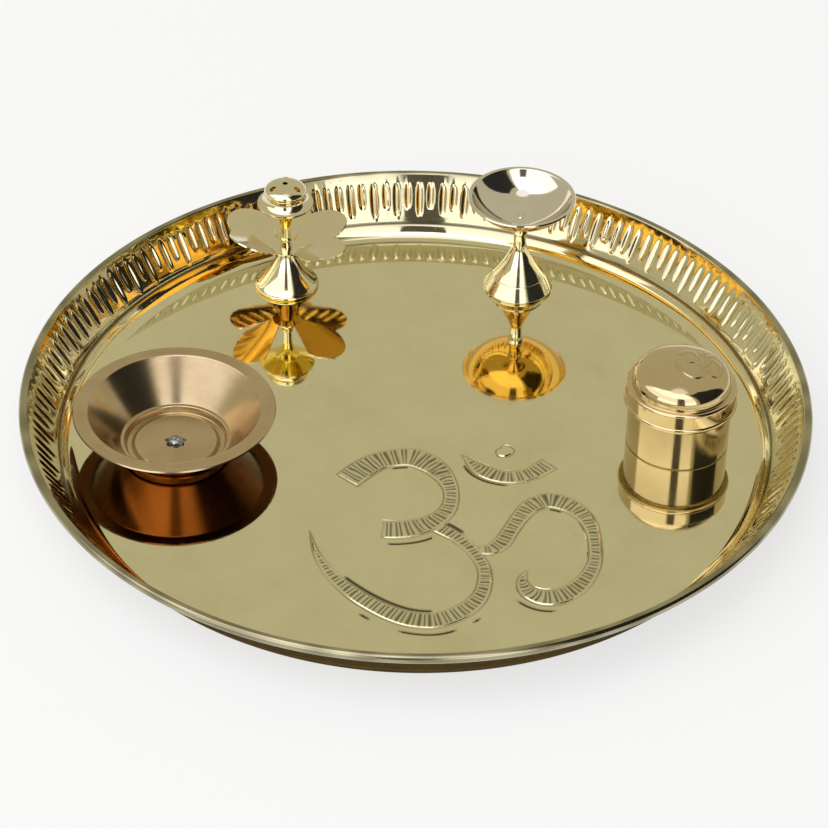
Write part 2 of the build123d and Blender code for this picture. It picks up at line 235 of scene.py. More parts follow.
def flow(points, first, last, pieces=12):
    """Smooth curve through points, with these slopes at its two ends."""
    slopes = [Vector(first)]
    slopes += [(Vector(b) - Vector(a)) / 2 for a, b in zip(points, points[2:])]
    slopes.append(Vector(last))
    curve = [points[0]]
    for (a, b), (u, v) in zip(zip(points, points[1:]), zip(slopes, slopes[1:])):
        for step in range(1, pieces + 1):
            t = step / pieces
            near = Vector(a) * (1 + 2 * t) * (1 - t) ** 2 + u * t * (1 - t) ** 2
            far = Vector(b) * (3 - 2 * t) * t**2 - v * t**2 * (1 - t)
            curve.append(tuple(near + far))
    return curve


def thick(outline, sheet):
    """Closed edge-on outline of a sheet that lies to the right of the way along this line."""
    points = [Vector(p) for p in outline]
    under = []
    for number, here in enumerate(points):
        before = (here - points[number - 1]).normalized() if number else None
        after = (points[number + 1] - here).normalized() if number + 1 < len(points) else None
        before, after = before or after, after or before
        side = Vector((before.y + after.y, -before.x - after.x)).normalized()
        under.append(tuple(here + side * sheet / max(0.5, side.dot(Vector((before.y, -before.x))))))
    last = (points[-1] + Vector(under[-1])) / 2
    ahead = (points[-1] - points[-2]).normalized() * sheet * 0.35
    return [*outline, tuple(last + ahead), *reversed(under)]


def turned(name, outline, place, steps=ROUND_STEPS, turn=2 * pi, start=0.0, copies=1):
    """Piece of revolution: a point is drawn out along the outline, spun and copied round the axis."""
    pick_none()
    bpy.ops.mesh.primitive_plane_add(size=MM, location=place)
    piece = named(name)
    bpy.ops.object.transform_apply(location=True, rotation=True, scale=True)
    bpy.ops.object.mode_set(mode="EDIT")
    bpy.ops.mesh.select_all(action="SELECT")
    bpy.ops.mesh.merge(type="CENTER")
    ways = [Vector((r * cos(start), r * sin(start), z)) for r, z in outline]
    bpy.ops.transform.translate(value=ways[0])
    for here, there in zip(ways, ways[1:]):
        bpy.ops.mesh.extrude_region_move(TRANSFORM_OT_translate={"value": there - here})
    bpy.ops.mesh.select_all(action="SELECT")
    bpy.ops.mesh.spin(steps=steps // copies, angle=turn / copies, center=place, axis=(0, 0, -1))
    if copies > 1:
        bpy.ops.mesh.select_all(action="SELECT")
        rest = copies - 1
        bpy.ops.mesh.spin(steps=rest, dupli=True, angle=turn * rest / copies, center=place, axis=(0, 0, -1))
    close_up(piece)
    return piece


def close_up(piece):
    """Seams and poles are merged and faces turned outward."""
    pick(piece)
    bpy.ops.object.mode_set(mode="EDIT")
    bpy.ops.mesh.select_all(action="SELECT")
    bpy.ops.mesh.remove_doubles(threshold=1.5e-6)
    bpy.ops.mesh.normals_make_consistent(inside=False)
    bpy.ops.object.mode_set(mode="OBJECT")


def in_metres(outline):
    return [(r * MM, z * MM) for r, z in outline]


def join(first, *others):
    pick(first, *others)
    bpy.ops.object.join()
    return first


def apply_all(piece):
    pick(piece)
    for modifier in list(piece.modifiers):
        bpy.ops.object.modifier_apply(modifier=modifier.name)


def points_of(piece):
    flat = np.empty(len(piece.data.vertices) * 3)
    piece.data.vertices.foreach_get("co", flat)
    return flat.reshape(-1, 3)


def move_points(piece, points):
    piece.data.vertices.foreach_set("co", points.astype(np.float32).ravel())
    piece.data.update()


def mark_darkening(piece, dirt):
    """Keeps how far each point is darkened, for the finishes that ask for it: dirt and solder on some pieces,
    painted shade on others.
    """
    piece.data.attributes.new("dirt", "FLOAT", "POINT").data.foreach_set("value", dirt.astype(np.float32))


def drop_points(piece, unwanted):
    """Deletes these points and what is left loose."""
    pick(piece)
    bpy.ops.object.mode_set(mode="EDIT")
    bpy.ops.mesh.select_mode(type="VERT")
    bpy.ops.mesh.select_all(action="DESELECT")
    bpy.ops.object.mode_set(mode="OBJECT")
    piece.data.vertices.foreach_set("select", unwanted)
    bpy.ops.object.mode_set(mode="EDIT")
    bpy.ops.mesh.delete(type="VERT")
    bpy.ops.mesh.select_all(action="SELECT")
    bpy.ops.mesh.delete_loose()
    bpy.ops.object.mode_set(mode="OBJECT")


def dress(piece, body, node, finish, crease=35.0):
    """Smooths a piece, gives it its finish and lets it stand for its node."""
    pick(piece)
    bpy.ops.object.shade_smooth_by_angle(angle=radians(crease))
    even = piece.modifiers.new("even", "WEIGHTED_NORMAL")
    even.keep_sharp = True
    apply_all(piece)
    piece.data.materials.clear()
    piece.data.materials.append(finish)
    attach(piece, body)
    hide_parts(node)
    return piece


class Value:
    """A node's socket that takes part in plain sums."""

    def __init__(self, finish, socket):
        self.finish = finish
        self.socket = socket

    def maths(self, operation, first, second):
        return self.finish.node("ShaderNodeMath", {"operation": operation}, {0: first, 1: second})

    def __add__(self, other):
        return self.maths("ADD", self, other)

    def __sub__(self, other):
        return self.maths("SUBTRACT", self, other)

    def __mul__(self, other):
        return self.maths("MULTIPLY", self, other)

    def __rsub__(self, other):
        return self.maths("SUBTRACT", other, self)

    __radd__ = __add__
    __rmul__ = __mul__


class Finish:
    """A material that is put together node by node."""

    def __init__(self, name):
        self.material = bpy.data.materials.new(name)
        self.material.use_nodes = True
        self.tree = self.material.node_tree
        self.tree.nodes.clear()

    def node(self, kind, settings=None, sockets=None, out=0):
        """Adds a node with its settings and its sockets' values or links, and gives one of its outputs."""
        made = self.tree.nodes.new(kind)
        for name, setting in (settings or {}).items():
            if name == "stops":
                self.set_stops(made.color_ramp, setting)
            else:
                setattr(made, name, setting)
        for name, value in (sockets or {}).items():
            if isinstance(value, Value):
                self.tree.links.new(value.socket, made.inputs[name])
            else:
                made.inputs[name].default_value = value
        return Value(self, made.outputs[out]) if made.outputs else made

    def set_stops(self, ramp, stops):
        while len(ramp.elements) < len(stops):
            ramp.elements.new(0.5)
        for element, (place, shade) in zip(ramp.elements, stops):
            element.position = place
            element.color = (shade, shade, shade, 1) if isinstance(shade, float) else (*shade, 1)

    def place(self, middle=(0, 0, 0), scale=(1, 1, 1), turn=(0, 0, 0)):
        """Object coordinates about a middle, stretched and turned."""
        own = self.node("ShaderNodeTexCoord", out=3)
        shifted = self.node("ShaderNodeVectorMath", {"operation": "SUBTRACT"}, {0: own, 1: middle})
        return self.node("ShaderNodeMapping", {}, {"Vector": shifted, "Scale": scale, "Rotation": turn})

    def noise(self, where, scale, detail=3.0, roughness=0.55):
        sockets = {"Vector": where, "Scale": scale, "Detail": detail, "Roughness": roughness}
        return self.node("ShaderNodeTexNoise", {}, sockets)

    def ramp(self, value, *stops):
        return self.node("ShaderNodeValToRGB", {"stops": stops}, {"Fac": value})

    def blend(self, share, first, second):
        sockets = {0: share, 6: first, 7: second}
        return self.node("ShaderNodeMix", {"data_type": "RGBA"}, sockets, 2)

    def faces_down(self):
        """One where the surface faces the ground, nought where it faces up."""
        facing = self.node("ShaderNodeNewGeometry", out=1)
        upward = self.node("ShaderNodeSeparateXYZ", {}, {0: facing}, 2)
        return self.ramp(0.5 - upward, (0.45, 0.0), (0.75, 1.0))

    def about_axis(self, own):
        """Distance from the upright axis and height, of places about a piece's middle."""
        flat = self.node("ShaderNodeVectorMath", {"operation": "MULTIPLY"}, {0: own, 1: (1, 1, 0)})
        radius = self.node("ShaderNodeVectorMath", {"operation": "LENGTH"}, {0: flat}, 1)
        return radius, self.node("ShaderNodeSeparateXYZ", {}, {0: own}, 2)

    def marked(self):
        """How far the piece's own points are marked darker: dirt and solder on some pieces, painted shade on
        others.
        """
        return self.node("ShaderNodeAttribute", {"attribute_name": "dirt"}, {}, 2)

    def metal(self, colour, roughness, height, depth, glance=(1, 1, 1, 1)):
        """Ends the material in a metal with this colour, roughness, relief in metres and glancing colour."""
        normal = self.node("ShaderNodeBump", {}, {"Strength": 1.0, "Distance": depth, "Height": height})
        sockets = {"Base Color": colour, "Roughness": roughness, "Metallic": 1.0, "Normal": normal}
        sockets["Specular Tint"] = glance
        surface = self.node("ShaderNodeBsdfPrincipled", {}, sockets)
        self.node("ShaderNodeOutputMaterial", {}, {"Surface": surface})
        return self.material


def rgba(colour, shade=1.0):
    return (*[c * shade for c in colour], 1.0)


def scratched_brass(name, colour, low, high, middle=(0, 0, 0), tarnish=0.35, under=None):
    """Polished brass with hair scratches, stains, specks, darkening where it is marked (dirt and painted
    shade) and a painted reflection colour on its underside.
    """
    finish = Finish(name)
    own = finish.place(middle)
    stain = finish.ramp(finish.noise(own, 38.0, 5.0, 0.6), (0.42, 0.0), (0.72, 1.0))
    cloud = finish.noise(own, 140.0, 4.0)
    specks = finish.ramp(finish.noise(own, 900.0, 2.0, 0.4), (0.69, 0.0), (0.75, 1.0))
    hairs = None
    for turn in (0.3, 1.35, 2.4):
        along = finish.place(middle, (28.0, 1500.0, 300.0), (0, 0, turn))
        line = finish.ramp(finish.noise(along, 1.0, 2.0, 0.5), (0.62, 0.0), (0.7, 1.0))
        hairs = line if hairs is None else hairs + line
    streaks = finish.noise(finish.place(middle, (170.0, 9.0, 20.0), (0, 0, 0.06)), 1.0, 4.0, 0.6)
    share = stain * tarnish + streaks * tarnish * 0.6 + specks * 0.35
    base = finish.blend(share, rgba(colour), rgba((colour[0] * 0.8, colour[1] * 0.74, colour[2] * 0.66)))
    # Painted reflection: where the surface faces down to the mirror plate it takes the deeper gold of brass
    # seen in brass.
    if under:
        base = finish.blend(finish.faces_down(), base, rgba(under))
    # The marked darkening is painted shade along the plate's flutes, lines and sign, with some plainly darker
    # bands.
    dirt = finish.marked()
    base = finish.blend(dirt * 0.95, base, rgba((0.045, 0.03, 0.012)))
    roughness = low + cloud * (high - low) + stain * 0.03 + hairs * 0.04 + specks * 0.1 + dirt * 0.2
    relief = cloud * 0.5 + hairs * 0.06 + finish.noise(own, 22.0, 1.0) * 6.0
    return finish.metal(base, roughness, relief, 6e-6)


def turned_brass(name, colour, low, high, middle, lines=1400.0, under=None):
    """Turned and polished brass with fine rings about the piece's axis, darkening where it is marked and a
    painted reflection colour on its underside.
    """
    finish = Finish(name)
    own = finish.place(middle)
    radius, height = finish.about_axis(own)
    across = finish.node("ShaderNodeCombineXYZ", {}, {"X": radius * lines, "Y": height * lines, "Z": 0.0})
    rings = finish.noise(across, 1.0, 3.0, 0.6)
    stain = finish.ramp(finish.noise(own, 90.0, 4.0), (0.45, 0.0), (0.75, 1.0))
    specks = finish.ramp(finish.noise(own, 1300.0, 2.0, 0.4), (0.68, 0.0), (0.74, 1.0))
    darker = (colour[0] * 0.82, colour[1] * 0.75, colour[2] * 0.64)
    base = finish.blend(stain * 0.3 + specks * 0.3, rgba(colour), rgba(darker))
    # Painted reflection: the underside takes a deeper gold, as it shows in the mirror plate.
    if under:
        base = finish.blend(finish.faces_down(), base, rgba(under))
    # The marked darkening is painted shade at the powder box's foot and under its ring, and a faint darkening
    # round the lid's sign.
    dirt = finish.marked()
    base = finish.blend(dirt * 0.8, base, rgba((0.14, 0.09, 0.035)))
    roughness = low + rings * (high - low) + stain * 0.04 + specks * 0.08 + dirt * 0.15
    return finish.metal(base, roughness, rings + finish.noise(own, 160.0, 1.0) * 2.0, 5e-6)


def brushed_bronze(name, colour, middle):
    """Spun bronze, brushed in rings, toned brown with darker and redder patches, a painted reflection colour
    on its underside and painted shade where it is marked.
    """
    finish = Finish(name)
    own = finish.place(middle)
    radius, height = finish.about_axis(own)
    way = radius + height
    fine, bands = (
        finish.noise(finish.node("ShaderNodeCombineXYZ", {}, {"X": way * lines, "Y": row}), 1.0, 2.0)
        for lines, row in ((2600.0, 0.0), (520.0, 3.0))
    )
    patch = finish.ramp(finish.noise(own, 55.0, 4.0, 0.6), (0.4, 0.0), (0.7, 1.0))
    brown = (colour[0] * 0.72, colour[1] * 0.62, colour[2] * 0.52)
    base = finish.blend(patch * 0.45 + bands * 0.3, rgba(colour), rgba(brown))
    # Painted reflection: the underside is coloured a dark red-brown, as it shows in the mirror plate.
    base = finish.blend(finish.faces_down(), base, rgba((0.36, 0.11, 0.025)))
    # Painted shade: the outside is blackened where it is marked.
    painted_shade = finish.marked()
    base = finish.blend(painted_shade, base, rgba((0.05, 0.02, 0.01)))
    roughness = 0.08 + fine * 0.15 + bands * 0.06 + patch * 0.05
    return finish.metal(base, roughness, fine + bands * 1.5, 9e-6)


def hammered_grey(name, colour, middle):
    """Dull grey metal with dents and dark dirt."""
    finish = Finish(name)
    own = finish.place(middle)
    dents = finish.noise(own, 900.0, 3.0)
    dirt = finish.ramp(finish.noise(own, 600.0, 4.0, 0.65), (0.48, 0.0), (0.68, 1.0))
    solder = finish.marked()
    base = finish.blend(dirt * 0.6 + solder * 0.75, rgba(colour), rgba((0.07, 0.045, 0.03)))
    return finish.metal(base, 0.3 + dirt * 0.25, dents, 6e-5)


def dull_brass(name, colour):
    """Unpolished brass of the plate's outside, stained and grained."""
    finish = Finish(name)
    own = finish.place()
    stain = finish.ramp(finish.noise(own, 60.0, 5.0, 0.6), (0.38, 0.0), (0.7, 1.0))
    grain = finish.noise(own, 1500.0, 3.0)
    base = finish.blend(stain * 0.6, rgba(colour), rgba(colour, 0.62))
    return finish.metal(base, 0.3 + grain * 0.15 + stain * 0.08, grain, 1.2e-5, rgba((0.3, 0.25, 0.16)))


def plain(name, colour, wear, lit=0.0):
    """Matt paint with a faint mottle, and a share of plain white that only sight and mirrors see."""
    finish = Finish(name)
    mottle = finish.noise(finish.place(), 3.0, 3.0)
    base = finish.blend(mottle * wear, rgba(colour), rgba(colour, 0.96))
    surface = finish.node("ShaderNodeBsdfPrincipled", {}, {"Base Color": base, "Roughness": 0.9})
    if lit:
        paper = finish.node("ShaderNodeEmission", {}, {"Color": (1, 1, 1, 1), "Strength": 1.0})
        camera, glossy, through = (finish.node("ShaderNodeLightPath", out=ray) for ray in (0, 3, 6))
        seen = (camera + glossy + through) * lit
        surface = finish.node("ShaderNodeMixShader", {}, {0: seen, 1: surface, 2: paper})
    finish.node("ShaderNodeOutputMaterial", {}, {"Surface": surface})
    return finish.material


def glow(name, strength):
    """Even white light of the soft windows."""
    finish = Finish(name)
    surface = finish.node("ShaderNodeEmission", {}, {"Color": (1, 1, 1, 1), "Strength": strength})
    finish.node("ShaderNodeOutputMaterial", {}, {"Surface": surface})
    return finish.material


SIGN_STROKES = (
    # Each point is x, y and half width in millimetres on the plate's floor.
    (
        (-21.9, -24.2, 4.9), (-16.6, -18.0, 4.9), (-10.9, -13.6, 4.7), (-3.0, -11.6, 4.9), (2.4, -13.2, 4.9),
        (7.6, -18.0, 4.2), (11.0, -24.9, 3.1), (11.8, -32.2, 2.8), (10.0, -38.6, 3.2), (5.6, -43.6, 3.9),
        (0.6, -46.4, 4.5), (-4.4, -47.6, 4.6), (-10.0, -47.7, 4.6),
    ),
    (
        (7.0, -45.6, 3.0), (10.6, -48.2, 3.0), (14.2, -51.4, 2.7), (18.4, -57.0, 2.5), (21.6, -63.8, 2.5),
        (22.2, -69.6, 2.6), (21.2, -76.0, 2.9), (18.2, -81.8, 3.3), (13.4, -86.2, 3.7), (7.0, -89.2, 3.9),
        (0.0, -88.9, 3.9), (-6.0, -86.6, 3.7), (-12.0, -82.7, 3.4), (-18.0, -77.6, 3.1), (-24.6, -69.9, 2.4),
        (-29.7, -59.8, 1.5), (-32.5, -48.4, 0.3),
    ),
    (
        (20.0, -56.6, 2.4), (24.4, -56.0, 3.0), (27.8, -52.4, 3.2), (30.5, -46.5, 3.0), (33.9, -39.4, 3.2),
        (37.4, -34.6, 3.7), (42.7, -32.0, 4.1), (48.7, -34.0, 3.9), (53.3, -38.9, 3.3), (55.9, -45.7, 2.7),
        (56.6, -54.6, 2.5), (56.0, -61.7, 2.6), (53.8, -67.6, 3.0), (50.4, -73.0, 3.5), (45.4, -77.0, 3.9),
        (40.3, -78.0, 3.9), (36.0, -76.0, 3.3), (33.9, -72.6, 2.5), (33.7, -69.0, 1.7), (35.0, -65.6, 0.7),
    ),
    ((15.0, -9.6, 0.4), (21.4, -17.4, 3.3), (29.2, -20.9, 3.5), (36.8, -19.1, 3.6), (43.6, -13.5, 3.7)),
    ((28.6, -8.2, 2.9), (29.6, -7.4, 2.9)),
)


SIGN_LINES = (
    # Each deep line, pressed in and painted dark as shade, is a stroke's number, its side (1 is below), the
    # way out of it, and its start and end.
    (0, 1, 2.4, 60, 80), (0, 1, 0.6, 17, 26), (1, -1, 0.3, 56, 93), (1, -1, 0.2, 0, 9), (1, 1, 2.5, 45, 48.5),
    (1, 1, 2.5, 52, 66), (1, 1, 2.5, 73, 78), (2, 1, 2.3, 94, 102), (2, 1, 0.6, 35, 43), (3, 1, 0.7, 5, 20),
)


def smooth_stroke(points, pieces=8):
    """Dense points of a stroke on a smooth curve through the given ones."""
    given = np.array(points, float)
    ends = np.vstack([2 * given[0] - given[1], given, 2 * given[-1] - given[-2]])
    made = []
    for a, b, c, d in zip(ends, ends[1:], ends[2:], ends[3:]):
        for t in np.linspace(0, 1, pieces, endpoint=False):
            made.append(b + 0.5 * t * (c - a + t * (2 * a - 5 * b + 4 * c - d + t * (3 * (b - c) + d - a))))
    return np.vstack([made, given[-1]])


def sign_edges(x, y, strokes):
    """For points in millimetres: the way out of the nearest stroke and along it, its side and its number."""
    edge = np.full(x.shape, 1e3)
    way, below, which = np.zeros((3, *x.shape))
    for number, points in enumerate(strokes):
        dense = smooth_stroke(points)
        gap = np.full(x.shape, 1e3)
        along, side = np.zeros((2, *x.shape))
        passed = 0.0
        for (ax, ay, aw), (bx, by, bw) in zip(dense, dense[1:]):
            length = math.hypot(bx - ax, by - ay)
            share = np.clip(((x - ax) * (bx - ax) + (y - ay) * (by - ay)) / length**2, 0, 1)
            down = ay + share * (by - ay) - y
            far = np.hypot(x - ax - share * (bx - ax), down)
            beyond = far - aw - share * (bw - aw)
            nearer = beyond < gap
            gap = np.where(nearer, beyond, gap)
            along = np.where(nearer, passed + share * length, along)
            side = np.where(nearer, down / np.maximum(far, 1e-6), side)
            passed += length
        if len(points) > 2:
            for tip, inner in ((dense[0], dense[1]), (dense[-1], dense[-2])):
                ahead = (tip - inner)[:2] / math.dist(tip[:2], inner[:2])
                past = (x - tip[0]) * ahead[0] + (y - tip[1]) * ahead[1]
                close = np.hypot(x - tip[0], y - tip[1]) < tip[2] + 4
                gap = np.where(close, np.maximum(gap, past), gap)
        closer = gap < edge
        edge = np.where(closer, gap, edge)
        way = np.where(closer, along, way)
        below = np.where(closer, side, below)
        which = np.where(closer, number, which)
    return edge, way, below, which


def bump(distance, width):
    """One on the spot, falling off softly over this width."""
    return np.exp(-((distance / width) ** 2))


def ease(value, start, end):
    """Smooth step from nought at start to one at end."""
    share = np.clip((value - start) / (end - start), 0, 1)
    return share**2 * (3 - 2 * share)


def pressed_sign(x, y, rib_pitch):
    """For points in millimetres: height of the chased sign, its darkening (darker grooves, and painted shade
    along the outlines and in the deep lines) and the way out of it.
    """
    edge, way, below, which = sign_edges(x, y, SIGN_STROKES)
    depth = -edge
    slow = 0.5 + 0.5 * np.sin(way * 0.16 + which * 2.1 + 0.9 * np.sin(way * 0.06))
    inset = depth - 0.4
    line = bump(inset, 0.48)
    core = ease(depth, 0.7, 1.2)
    ribbed = ease(depth, 1.05, 1.45) * (which < 4)
    phase = (way / rib_pitch + 0.13 * np.sin(way * 1.9) + 0.1 * np.sin(way * 0.7 + x)) % 1 - 0.5
    grooves = ribbed * bump(phase, 0.24)
    deep = np.zeros(x.shape)
    for stroke, side, outside, start, end in SIGN_LINES:
        there = (which == stroke) * ease(below * side, 0.1, 0.4)
        there = there * ease(way, start, start + 2) * ease(-way, -end, 2 - end)
        deep = np.maximum(deep, there * bump(edge - outside, 0.42))
    # Painted shade along the strokes' outlines, stronger below them, and in the deep lines.
    shade = bump(inset + 0.24 * below, 0.3)
    height = 0.35 * core - (0.7 + 0.4 * slow) * line - 0.6 * grooves - 0.6 * deep
    dirt = 0.85 * grooves + (0.25 + 0.4 * slow) * shade + 1.4 * deep
    return height, np.clip(dirt, 0, 1), edge


def wall_lines(sizes):
    """Middle of the rolled edge, top of the sloping wall and its foot, each as radius and height."""
    roll = sizes.curl / 2
    curl = (sizes.width / 2 - roll, sizes.height - roll)
    top = (curl[0] - roll * sin(sizes.wall_angle), curl[1] + roll * cos(sizes.wall_angle))
    foot = (top[0] - (top[1] - sizes.sheet) / tan(sizes.wall_angle), sizes.sheet)
    return curl, top, foot


def flute_depths(points, sizes):
    """How far each point of the wall is pressed outward by the flutes, and how far it is darkened: painted
    shade in the line below the flutes and along the flutes' edges, darker on the rolled edge and faintly over
    the flutes.
    """
    _, top, foot = wall_lines(sizes)
    radius = np.hypot(points[:, 0], points[:, 1])
    around = np.arctan2(points[:, 1], points[:, 0]) % (2 * pi)
    down = (top[0] - radius) * cos(sizes.wall_angle) + (top[1] - points[:, 2]) * sin(sizes.wall_angle)
    count = 2 * sizes.flute_pairs
    pitch = 2 * pi / count
    number = np.round(around / pitch).astype(int) % count
    chance = np.random.default_rng(7)
    shift = chance.normal(0, 0.11 * MM, count)[number]
    stretch = chance.normal(0, 0.3 * MM, count)[number]
    strength = chance.normal(1, 0.12, count)[number]
    aside = (around - np.round(around / pitch) * pitch) * radius + shift
    length = np.where(number % 2 == 0, sizes.long_flute, sizes.short_flute) + stretch
    share = np.clip((down - sizes.flute_start) / length, 0, 1)
    form = (4 * share * (1 - share)) ** 0.4
    half = sizes.flute_width / 2 * (0.35 + 0.65 * form)
    across = np.clip(1 - (aside / half) ** 2, 0, 1)
    pressed = sizes.flute_depth * strength * form * across**1.3
    # Slow waves left by the press, each with its height, its count round the plate and its phase
    wave = sum(
        size * MM * np.sin(around * turns + phase)
        for size, turns, phase in ((0.05, 5, 0.4), (0.04, 13, 2.0), (0.035, 29, 1.1), (0.02, 61, 4.0))
    )
    span = math.dist(top, foot)
    inner = np.clip(down / (2.0 * MM), 0, 1) * np.clip((span - 3.0 * MM - down) / (2.0 * MM), 0, 1)
    # Painted shade in the pressed line below the flutes and along the flutes' edges; the rolled edge is
    # darker and the fluted band faintly darker.
    line = bump(down - sizes.line_place, 0.75 * MM)
    flank = form * bump(np.abs(aside) / half - 1, 0.34)
    rolled = ease(-down, -0.2 * MM, 0.3 * MM) * (0.6 + 0.1 * np.sin(around * 37 + 2 * np.sin(around * 11)))
    veil = 0.07 * ease(down, 0.5 * MM, 3 * MM) * ease(-down, -17 * MM, -15 * MM)
    dirt = 0.4 * flank * (0.7 + 0.3 * np.sin(number * 2.3)) + line + rolled + veil
    return pressed + wave * inner + 0.25 * MM * line, np.clip(dirt, 0, 1)


def press_flutes(piece, sizes):
    """Moves a wall's points along its slope's normal, and marks how far they are darkened, with painted
    shade.
    """
    points = points_of(piece)
    depth, dirt = flute_depths(points, sizes)
    radius = np.hypot(points[:, 0], points[:, 1])
    outward = depth * sin(sizes.wall_angle) / np.maximum(radius, MM)
    points[:, 0] += points[:, 0] * outward
    points[:, 1] += points[:, 1] * outward
    points[:, 2] -= depth * cos(sizes.wall_angle)
    move_points(piece, points)
    mark_darkening(piece, dirt)


def wall_rows(sizes):
    """Distances down the wall at which its mesh has rows, closer together where the flutes lie."""
    end = sizes.flute_start + sizes.long_flute + 1.2 * MM
    rows = 19
    start = sizes.flute_start - 0.5 * MM
    around_line = [sizes.line_place + way * MM for way in (-1.0, -0.6, -0.25, 0.25, 0.6, 1.0)]
    return [start + (end - start) * n / rows for n in range(rows)] + around_line


class THALI_OT_plate(bpy.types.Operator):
    """Makes the plate: the fluted wall with its rolled edge, the outside and the floor with its sign"""

    bl_idname = "thali.plate"
    bl_label = "Plate"

    def execute(self, context):
        sizes = context.scene.thali_plate
        brass = scratched_brass("plate_brass", context.scene.thali_colours.plate, 0.02, 0.05)
        columns = 2 * sizes.flute_pairs * FLUTE_COLUMNS
        curl, top, foot = wall_lines(sizes)
        along = Vector((cos(sizes.wall_angle), sin(sizes.wall_angle)))
        cove = rounded([(0, foot[1]), (*foot, sizes.cove), top], 8)[1:-1]
        rows = [tuple(Vector(top) - along * down) for down in reversed(wall_rows(sizes))]
        start = radians(90) + sizes.wall_angle
        end = start - CURL_TURN
        outer = sizes.curl / 2
        roll = [(curl[0] + outer * cos(a), curl[1] + outer * sin(a)) for a in np.linspace(start, end, 17)]
        face = [(FLOOR_RING, foot[1]), *cove, *rows, *roll]
        wall = turned("plate_wall", face, (0, 0, 0), columns, copies=sizes.flute_pairs)
        press_flutes(wall, sizes)
        dress(wall, "tray", "thali_plate", brass, crease=50.0)

        inner = outer - sizes.sheet
        hidden = [(curl[0] + inner * cos(a), curl[1] + inner * sin(a)) for a in np.linspace(end, start, 9)]
        away = Vector((sin(sizes.wall_angle), -cos(sizes.wall_angle))) * sizes.sheet
        behind = [tuple(Vector(row) + away) for row in reversed(rows)]
        low_foot = (foot[0] + sizes.sheet * tan(sizes.wall_angle / 2), 0.0)
        under = rounded([behind[-1], (*low_foot, sizes.cove + sizes.sheet), (0, 0)], 6)[1:-1]
        outline = [roll[-1], *hidden, *behind, *under, (BACK_RING, 0), (0, 0)]
        back = turned("plate_back", outline, (0, 0, 0), columns, copies=sizes.flute_pairs)
        press_flutes(back, sizes)
        # The outside's dark colour is partly unpolished brass and partly painted shade under the rolled edge.
        outside = dull_brass("plate_outside", (0.18, 0.148, 0.09))
        dress(back, "tray", "thali_plate", outside, crease=50.0)

        floor = self.floor_with_sign(sizes, columns)
        dress(floor, "tray", "thali_plate", brass, crease=60.0)
        return {"FINISHED"}

    def floor_with_sign(self, sizes, columns):
        """A fine grid along the strokes, pressed into the sign and filled out to a ring inside the cove."""
        low, high = SIGN_CORNERS
        middle = (low + high) / 2
        count = [int((high - low)[axis] / SIGN_STEP) for axis in (0, 1)]
        pick_none()
        bpy.ops.mesh.primitive_grid_add(
            x_subdivisions=count[0], y_subdivisions=count[1], size=1, location=(*middle, sizes.sheet)
        )
        floor = named("plate_floor")
        floor.scale = (high.x - low.x, high.y - low.y, 1)
        bpy.ops.object.transform_apply(location=True, rotation=True, scale=True)
        points = points_of(floor)
        height, dirt, edge = pressed_sign(points[:, 0] / MM, points[:, 1] / MM, RIB_PITCH)
        points[:, 2] += sizes.sign_height * height
        move_points(floor, points)
        mark_darkening(floor, dirt)
        drop_points(floor, edge > SIGN_MARGIN)
        bpy.ops.mesh.primitive_circle_add(vertices=columns, radius=FLOOR_RING, location=(0, 0, sizes.sheet))
        ring = named("floor_ring")
        bpy.ops.object.transform_apply(location=True, rotation=True, scale=True)
        join(floor, ring)
        bpy.ops.object.mode_set(mode="EDIT")
        bpy.ops.mesh.select_all(action="DESELECT")
        bpy.ops.mesh.select_mode(type="EDGE")
        bpy.ops.mesh.select_non_manifold(
            use_wire=True, use_boundary=True, use_multi_face=False, use_verts=False
        )
        bpy.ops.mesh.fill(use_beauty=True)
        bpy.ops.mesh.select_mode(type="VERT")
        bpy.ops.mesh.select_all(action="SELECT")
        bpy.ops.mesh.normals_make_consistent(inside=False)
        bpy.ops.object.mode_set(mode="OBJECT")
        if floor.data.polygons[0].normal.z < 0:
            floor.data.flip_normals()
        return floor


